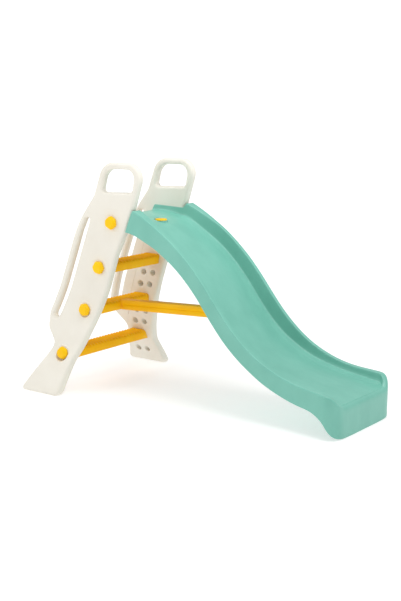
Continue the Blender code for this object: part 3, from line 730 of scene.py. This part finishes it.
def make_step(k, name):
    x0, z0 = BOLTS[k]
    reach = inner_y(z0 + STEP_TOP) - CLEAR
    count = int((2 * reach - 16.0) / RIB_PITCH)
    stops = [-reach] + [(n / 8 - count / 2) * RIB_PITCH for n in range(count * 8 + 1)] + [reach]
    rows = []
    for y in stops:
        row = []
        for x, z, share in step_section():
            out = inner_y(z0 + z) - inner_y(z0 + STEP_TOP) if abs(y) == reach else 0.0
            row.append((x0 + x, y + math.copysign(out, y), z0 + z - share * rib_drop(y, reach)))
        rows.append(row)
    obj = draped(name, rows)
    for end in (-1, 1):
        edge = {tuple(round(c * MM, 6) for c in place) for place in rows[0 if end < 0 else -1]}
        chosen(obj, "VERT", lambda v: tuple(round(c, 6) for c in v.co) in edge)
        bpy.ops.mesh.edge_face_add()
        done()
    merged(obj)
    top_face = max(obj.data.polygons, key=lambda f: f.center.z)
    if top_face.normal.z < 0:
        whole_mesh(obj, (bpy.ops.mesh.flip_normals, {}))
    applied(obj, "SOLIDIFY", thickness=SHEET * MM, offset=-1.0, use_even_offset=False)
    low = z0 - STEP_DROP + 2.0
    inside = STEP_DEPTH / 2 - SHEET + 1.0
    parts = []
    for side in (-1, 1):
        ends = sorted((side * (reach - 2.0), side * (reach - SHANK_GRIP - 4.0)))
        parts.append(rod("boss", "Y", (x0, 0.0, z0), *ends, SHANK_R + 3.5, sides=40))
    for side in (-1, 1):
        y = side * reach * 0.36
        high = (x0 + inside - 6.0, y + 1.5, z0 + STEP_TOP - 6.0)
        parts.append(block("web", (x0 - inside, y - 1.5, low), high))
    for part in parts:
        carved(obj, part, "UNION")
    threads = []
    for side in (-1, 1):
        ends = sorted((side * (reach + 40.0), side * (reach - SHANK_GRIP - 12.0)))
        threads.append(rod("thread", "Y", (x0, 0.0, z0), *ends, SHANK_R + CLEAR, sides=32))
    carved(obj, joined(threads))
    if k == 1:
        slot_side = TONGUE_HALF + 0.5
        front = x0 + STEP_DEPTH / 2
        low, high = (front - 14.0, -slot_side, z0 - 11.7), (front + 5.0, slot_side, z0 + 5.5)
        carved(obj, block("slot", low, high))
    bevelled(obj, 0.9, 2, 50.0)
    smoothed(obj, 40.0)
    finished(obj, YELLOW, "slide", "yellow_plastic", name.replace("ribbed_", ""))


# ---------------------------------------------------------------- chute
def rail_section(top, bed, skirt, width, tail, soft=0.0):
    """(distance in from the outer line, height) from the skirt edge over the rail and down its foot."""
    drop = min(1.0, max(0.0, top - bed) / 40.0)
    down, across = 7.0 + 17.0 * soft, 4.4 + 14.6 * soft
    wall = top - down - skirt
    foot = width + 13.0
    return [
        (2.0, skirt),
        (1.9, skirt + 0.06 * wall),
        (1.2, skirt + 0.45 * wall),
        (0.4, skirt + 0.85 * wall),
        (0.0, top - down),
        (0.13 * across, top - 0.48 * down),
        (0.46 * across, top - 0.13 * down),
        (across, top),
        (min(1.7 * across, width - 8.5), top - 0.7 * drop),
        (width - 8.0, top - 0.8 * drop),
        (width - 4.6, top),
        (width - 2.2, top - 0.8 * drop),
        (width - 0.7, top - 4.0 * drop),
        (width + 0.8, (top + bed) / 2),
        (width + 2.4, bed + 15.0 * drop),
        (width + 4.2, bed + 9.6 * drop),
        (width + 8.0, bed + 6.6 * drop),
        (foot, bed + 5.8 * drop),
        (foot + 0.25 * tail, bed + 4.4 * drop),
        (foot + 0.48 * tail, bed + 1.5 * drop),
        (foot + 0.72 * tail, bed + 0.2 * drop),
        (foot + tail, bed),
    ]


def to_middle(row):
    """Adds the bed's points from the row's last one to the middle line."""
    x, y, z = row[-1]
    return row + [(x, y * (1.0 - b / BED_COLUMNS), z) for b in range(1, BED_COLUMNS + 1)]


def platform_row(x, lip, floor, down=0.0, shift=0.0):
    """One section of the platform: a low side lip and the floor. Down drops it for the rear edge."""
    rise = lip - floor
    edge = [(0.0, lip), (0.1, lip - 6.0), (0.7, floor + 0.5 * rise), (1.4, floor + 8.0), (2.6, floor + 4.6)]
    edge += [(5.0, floor + 2.4), (9.0, floor + 1.4), (15.0, floor + 0.7)]
    edge += [(22.0, floor + 0.2), (30.0, floor), (42.0, floor)]
    row = []
    for d, z in edge:
        height = max(z - down, REAR_FOOT) if down else z
        lean = REAR_LEAN * (height - lip) if shift is not None else 0.0
        row.append((x + lean + (shift or 0.0), PLATFORM_HALF - d, height))
    return to_middle([row[0]] * CROWN + row)


def chute_rows():
    rows = []
    lip, floor = PLATFORM[0][1:]
    for down, shift in ((60.0, -1.0), (22.0, 0.0), (7.0, 0.0), (2.0, 0.4), (0.3, 2.6)):
        rows.append(platform_row(REAR_X, lip, floor, down, shift))
    for x in (-400.0, -394.0, -360.0, -326.5, -303.0, -281.5, -268.0, -254.5):
        rows.append(platform_row(x, along(PLATFORM, x, 1), along(PLATFORM, x, 2), 0.0, None))
    first, last = STATIONS[0][0], LENGTH / 2 - EXIT_ALONG - EXIT_LEAD
    count = round((last - first) / ROW_STEP)
    for x in [first, first + 5.0] + [lerp(first, last, k / count) for k in range(1, count + 1)]:
        top, bed, skirt, wall, edge = (along(STATIONS, x, c) for c in range(1, 6))
        lean = REAR_LEAN * max(0.0, 1.0 - (x - first) / 94.0)
        row = []
        for j, (d, z) in enumerate(rail_section(top, bed, skirt, edge - wall, 32.0)):
            row.append((x + (lean * (z - top) if j <= CROWN else 0.0), edge - d, z))
        rows.append(to_middle(row))
    for k in range(7):
        rows.append(to_middle(exit_row(15.0 * k)))
    return rows


def exit_row(turn, y_front=None):
    """One section of the rounded exit, turned about the corner; y_front puts it on the straight front."""
    corner_x = LENGTH / 2 - EXIT_ALONG
    corner_y = EXIT_HALF - EXIT_ACROSS
    angle = math.radians(turn)
    rail = along(EXIT, turn, 1)
    skirt = max(0.0, along(EXIT, turn, 2))
    if y_front is not None:
        skirt *= max(0.0, (y_front - EXIT_FLAT) / (corner_y - EXIT_FLAT))
    bed = bed_at(corner_x + EXIT_ALONG * math.sin(angle))
    row = []
    soft = math.sin(angle) ** 2
    for d, z in rail_section(rail, min(bed, rail), skirt, EXIT_WIDTH, 16.0, soft):
        x = corner_x + EXIT_ALONG * math.sin(angle) * (1.0 - d / EXIT_REACH)
        y = corner_y + (EXIT_ACROSS - d) * math.cos(angle) if y_front is None else y_front
        row.append((x, y, max(z, bed_at(x)) if d > 9.0 + 11.0 * soft else z))
    return row


def rear_cap(first_row):
    """The rail's closed rear end, between its outer wall, its crown and a straight inner edge."""
    low, high = 4, CROWN
    outer = [Vector(p) for p in first_row[: low + 1]]
    crown = [Vector(p) for p in first_row[low : high + 1]]
    inner_foot = Vector((outer[0].x, crown[-1].y, outer[0].z))
    rows = []
    for r in range(low + 1):
        up = r / low
        row = []
        for s in range(high - low + 1):
            in_share = (crown[0].y - crown[s].y) / (crown[0].y - crown[-1].y)
            sides = outer[r].lerp(inner_foot.lerp(crown[-1], up), in_share)
            ends = outer[0].lerp(inner_foot, in_share).lerp(crown[s], up)
            corners = outer[0].lerp(inner_foot, in_share).lerp(outer[low].lerp(crown[-1], in_share), up)
            row.append(tuple(sides + ends - corners))
        rows.append(row)
    return rows


def make_chute():
    rows = chute_rows()
    shell = draped("moulded_chute", rows)
    per_row = len(rows[0])
    lost = set()
    for i in range(PLATFORM_ROWS):
        lost.update(range(i * per_row, i * per_row + CROWN))
    chosen(shell, "VERT", lambda v: v.index in lost)
    bpy.ops.mesh.delete(type="VERT")
    done()
    corner_y = EXIT_HALF - EXIT_ACROSS
    front = [exit_row(90.0)]
    front += [exit_row(90.0, corner_y * (1.0 - b / BED_COLUMNS)) for b in range(1, BED_COLUMNS + 1)]
    pieces = [shell, draped("front_lip", front), draped("rear_cap", rear_cap(rows[PLATFORM_ROWS]))]
    shell = joined(pieces)
    merged(shell, 0.05)
    applied(shell, "MIRROR", use_axis=(False, True, False), merge_threshold=0.0001, use_clip=True)
    merged(shell, 0.01)
    middle = min(shell.data.polygons, key=lambda f: (f.center - Vector((0.0, 0.0, bed_at(0.0) * MM))).length)
    if middle.normal.z < 0:
        whole_mesh(shell, (bpy.ops.mesh.flip_normals, {}))
    applied(shell, "SOLIDIFY", thickness=SHEET * MM, offset=-1.0, use_even_offset=False)
    applied(shell, "SUBSURF", levels=2, render_levels=2)
    parts = []
    seat_low = SCREW_SEAT - SCREW_BOSS
    centre = (SCREW_X, 0.0, 0.0)
    parts.append(rod("screw_boss", "Z", centre, seat_low, SCREW_SEAT + 1.2, SCREW_R + 3.0, sides=64))
    for side in (-1, 1):
        near, far = sorted((side * (BRACE_HALF + CLEAR), side * (BRACE_HALF + CLEAR + CHEEK)))
        lug = block("lug", (75.0, near, 343.0), (146.0, far, 470.0))
        for vertex in lug.data.vertices:
            if vertex.co.z > 0.4:
                vertex.co.z = (bed_at(vertex.co.x / MM) - 2.0) * MM
            elif vertex.co.x > 0.1:
                vertex.co.z = 349.0 * MM
        parts.append(lug)
    carved(shell, joined(parts), "UNION")
    tools = [rod("screw_seat", "Z", centre, SCREW_SEAT, 770.0, SCREW_R + 1.0, SCREW_R + 9.0, 64)]
    tools.append(rod("screw_hole", "Z", centre, 690.0, SCREW_SEAT + 1.0, SCREW_SHANK + CLEAR, sides=32))
    reach = BRACE_HALF + CHEEK + 10.0
    pivot = (BRACE_BOLT_X, 0.0, BRACE_BOLT_Z)
    tools.append(rod("lug_hole", "Y", pivot, -reach, reach, SMALL_R + CLEAR, sides=24))
    for tool in tools:
        carved(shell, tool)
    smoothed(shell, 40.0)
    finished(shell, TEAL, "slide", "teal_plastic", "chute")


# ---------------------------------------------------------------- brace
def brace_low(x):
    return BRACE_REAR_Z + BRACE_SLOPE * (x - BRACE_REAR_X)


def sloped(obj, base):
    """Tilts a level piece of the brace onto its slope."""
    for vertex in obj.data.vertices:
        vertex.co.z += (brace_low(vertex.co.x / MM) - base) * MM
    return obj


def make_brace():
    rear, top = BRACE_REAR_X, BRACE_HEIGHT
    base = BRACE_REAR_Z
    obj = block("ribbed_brace", (rear, -BRACE_HALF, base), (BRACE_LOW_END, BRACE_HALF, base + top))
    for vertex in obj.data.vertices:
        if vertex.co.x > 0 and vertex.co.z > (base + 1.0) * MM:
            vertex.co.x = BRACE_TOP_END * MM
    sloped(obj, base)
    long_edges = []
    for edge in obj.data.edges:
        a, b = (obj.data.vertices[i].co for i in edge.vertices)
        if abs(a.x - b.x) > 0.3:
            long_edges.append(edge.index)
    chosen(obj, "EDGE", lambda e: e.index in long_edges)
    bpy.ops.mesh.bevel(offset=4.0 * MM, segments=5, affect="EDGES")
    done()
    wall = SHEET
    high = (BRACE_TOP_END - 4.0, BRACE_HALF - wall, base + top - wall)
    room = block("room", (rear + wall, -BRACE_HALF + wall, base - 5.0), high)
    sloped(room, base)
    for x in (-300.0, -140.0, 20.0):
        carved(room, block("web", (x, -30.0, 280.0), (x + wall, 30.0, 420.0)))
    bolt = (BRACE_BOLT_X, 0.0, BRACE_BOLT_Z)
    carved(room, rod("boss", "Y", bolt, -30.0, 30.0, 9.0))
    carved(obj, room)
    for side in (-1, 1):
        near, far = sorted((side * (BRACE_HALF - 1.0), side * (BRACE_HALF + 2.0)))
        groove = block("groove", (rear + 14.0, near, base + 20.5), (BRACE_TOP_END - 12.0, far, base + 22.5))
        carved(obj, sloped(groove, base))
    tongue = block("tongue", (rear - 15.5, -TONGUE_HALF, 336.0), (rear + 3.0, TONGUE_HALF, 344.0))
    hook = block("hook", (rear - 15.5, -TONGUE_HALF, 328.0), (rear - 9.5, TONGUE_HALF, 337.0))
    carved(tongue, hook, "UNION")
    carved(obj, tongue, "UNION")
    carved(obj, rod("bolt_hole", "Y", bolt, -30.0, 30.0, SMALL_R + CLEAR, sides=24))
    bevelled(obj, 0.7, 2, 40.0)
    smoothed(obj, 40.0)
    finished(obj, YELLOW, "slide", "yellow_plastic", "support_brace")


# ---------------------------------------------------------------- fasteners
def knob_body(turn):
    """A six-sided hand knob with a crowned head, along +Z from its seat."""
    bpy.ops.object.select_all(action="DESELECT")
    depth = HEAD_H * 0.5
    bpy.ops.mesh.primitive_cylinder_add(
        vertices=6,
        radius=HEAD_R * MM,
        depth=depth * MM,
        location=(0.0, 0.0, depth / 2 * MM),
        rotation=(0.0, 0.0, turn),
    )
    obj = settled(fresh("knob"))
    chosen(obj, "FACE", lambda f: f.normal.z > 0.9)
    bpy.ops.mesh.extrude_region_move(TRANSFORM_OT_translate={"value": (0.0, 0.0, 1.0 * MM)})
    bpy.ops.transform.resize(value=(0.95, 0.95, 1.0), center_override=(0.0, 0.0, 0.0))
    rise = (0.0, 0.0, (HEAD_H - depth - 1.0) * MM)
    bpy.ops.mesh.extrude_region_move(TRANSFORM_OT_translate={"value": rise})
    bpy.ops.transform.resize(value=(0.80, 0.80, 1.0), center_override=(0.0, 0.0, 0.0))
    done()
    upright = set()
    for edge in obj.data.edges:
        a, b = (obj.data.vertices[i].co for i in edge.vertices)
        if (a.xy.normalized() - b.xy.normalized()).length < 0.1:
            upright.add(edge.index)
    chosen(obj, "EDGE", lambda e: e.index in upright)
    bpy.ops.mesh.bevel(offset=6.0 * MM, segments=5, affect="EDGES")
    done()
    bevelled(obj, 2.4, 4, 20.0)
    return obj


def make_knobs():
    for side, word in ((1, "left"), (-1, "right")):
        for k, (x, z) in enumerate(BOLTS):
            seat = outer_y(z) - SEAT_DEPTHS[k] + CLEAR
            turn = math.radians(HEAD_TURNS[k] + (17.0 if side > 0 else 0.0))
            head = knob_body(turn)
            tip = inner_y(z) - SHANK_GRIP
            shank = rod("shank", "Z", (0.0, 0.0, 0.0), tip - seat, 3.0, SHANK_R - 0.4, sides=32)
            carved(head, shank, "UNION")
            head.location = (0.0, 0.0, seat * MM)
            settled(head)
            head.rotation_euler.x = math.radians(-90.0 * side)
            head.location = (x * MM, 0.0, z * MM)
            settled(head)
            smoothed(head, 35.0)
            head.name = f"knob_{word}_{k + 1}"
            node = f"hand_bolt_{word}_{k + 1}"
            finished(head, KNOB, node, "bolt_plastic", node)


def make_platform_screw():
    seat = SCREW_SEAT + CLEAR
    place = (SCREW_X, 0.0, 0.0)
    obj = rod("coin_screw", "Z", place, seat, seat + 7.0, SCREW_R - 0.1, SCREW_R - 2.5, 64)
    bevelled(obj, 1.6, 4, 30.0)
    carved(obj, block("coin_slot", (SCREW_X - 14.0, -2.2, seat + 3.5), (SCREW_X + 14.0, 2.2, seat + 12.0)))
    low = BOLTS[3][1] - 27.0
    carved(obj, rod("screw_shank", "Z", place, low, seat + 1.0, SCREW_SHANK, sides=32), "UNION")
    bevelled(obj, 0.4, 2, 50.0)
    smoothed(obj, 35.0)
    finished(obj, KNOB, "platform_screw", "bolt_plastic", "platform_screw")


def restyle(node, mat):
    """A carried-over part keeps its shape and takes a finish."""
    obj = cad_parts[node]
    for slot in obj.material_slots:
        slot.material = mat


# ---------------------------------------------------------------- stage
def make_camera():
    turn, dip, roll = (math.radians(a) for a in (CAMERA_TURN, CAMERA_DIP, CAMERA_ROLL))
    ahead = Vector((-math.sin(turn) * math.cos(dip), math.cos(turn) * math.cos(dip), -math.sin(dip)))
    right = Vector((math.cos(turn), math.sin(turn), 0.0))
    right = right * math.cos(roll) - right.cross(ahead) * math.sin(roll)
    up = right.cross(ahead)
    data = bpy.data.cameras.new("camera")
    data.sensor_fit = "VERTICAL"
    data.sensor_height = 36.0
    data.lens = CAMERA_LENS
    camera = bpy.data.objects.new("camera", data)
    bpy.context.scene.collection.objects.link(camera)
    camera.matrix_world = Matrix.Translation(CAMERA_PLACE) @ Matrix((right, up, -ahead)).transposed().to_4x4()
    bpy.context.scene.camera = camera


def softbox(name, place, aim, size, power):
    data = bpy.data.lights.new(name, "AREA")
    data.shape = "RECTANGLE"
    data.size, data.size_y = size
    data.energy = power
    light = bpy.data.objects.new(name, data)
    light.location = place
    light.rotation_euler = (Vector(aim) - Vector(place)).to_track_quat("-Z", "Y").to_euler()
    bpy.context.scene.collection.objects.link(light)


def make_stage():
    bpy.ops.object.select_all(action="DESELECT")
    bpy.ops.mesh.primitive_plane_add(size=40.0, location=(0.0, 0.0, -0.0005))
    floor = fresh("floor")
    mat = bpy.data.materials.new("pale_floor")
    mat.use_nodes = True
    shader = mat.node_tree.nodes["Principled BSDF"]
    shader.inputs["Base Color"].default_value = (0.62, 0.62, 0.62, 1.0)
    shader.inputs["Roughness"].default_value = 0.75
    shader.inputs["Emission Strength"].default_value = 1.0
    spot = mat.node_tree.nodes.new("ShaderNodeTexCoord").outputs["Object"]
    away = mat.node_tree.nodes.new("ShaderNodeVectorMath")
    away.operation = "LENGTH"
    mat.node_tree.links.new(spot, away.inputs[0])
    glow = ranged(mat.node_tree, away.outputs["Value"], 1.0, 3.6, 0.52, 0.90)
    mat.node_tree.links.new(glow, shader.inputs["Emission Color"])
    floor.data.materials.append(mat)
    settled(floor)
    world = bpy.data.worlds.new("white_room")
    world.use_nodes = True
    tree = world.node_tree
    background = tree.nodes["Background"]
    background.inputs["Color"].default_value = (1.0, 1.0, 1.0, 1.0)
    seen = tree.nodes.new("ShaderNodeLightPath").outputs["Is Camera Ray"]
    tree.links.new(ranged(tree, seen, 0.0, 1.0, 0.55, 1.2), background.inputs["Strength"])
    bpy.context.scene.world = world
    bpy.context.scene.view_settings.view_transform = "Standard"
    softbox("overhead", (0.9, -0.2, 3.0), (0.1, 0.0, 0.4), (1.5, 2.2), 52.0)
    softbox("key", (-2.6, -3.0, 2.2), (-0.2, 0.0, 0.4), (1.4, 1.4), 22.0)
    softbox("rear", (-2.4, -0.9, 2.2), (-0.4, 0.0, 0.4), (1.4, 1.4), 12.0)


make_camera()
make_stage()
make_frames()
for number, step in enumerate(("ribbed_step_lower", "ribbed_step_middle", "ribbed_step_upper")):
    make_step(number, step)
make_chute()
make_brace()
make_knobs()
make_platform_screw()
restyle("platform_beam", YELLOW)
for part in ("platform_nut", "brace_nut", "brace_bolt"):
    restyle(part, ZINC)
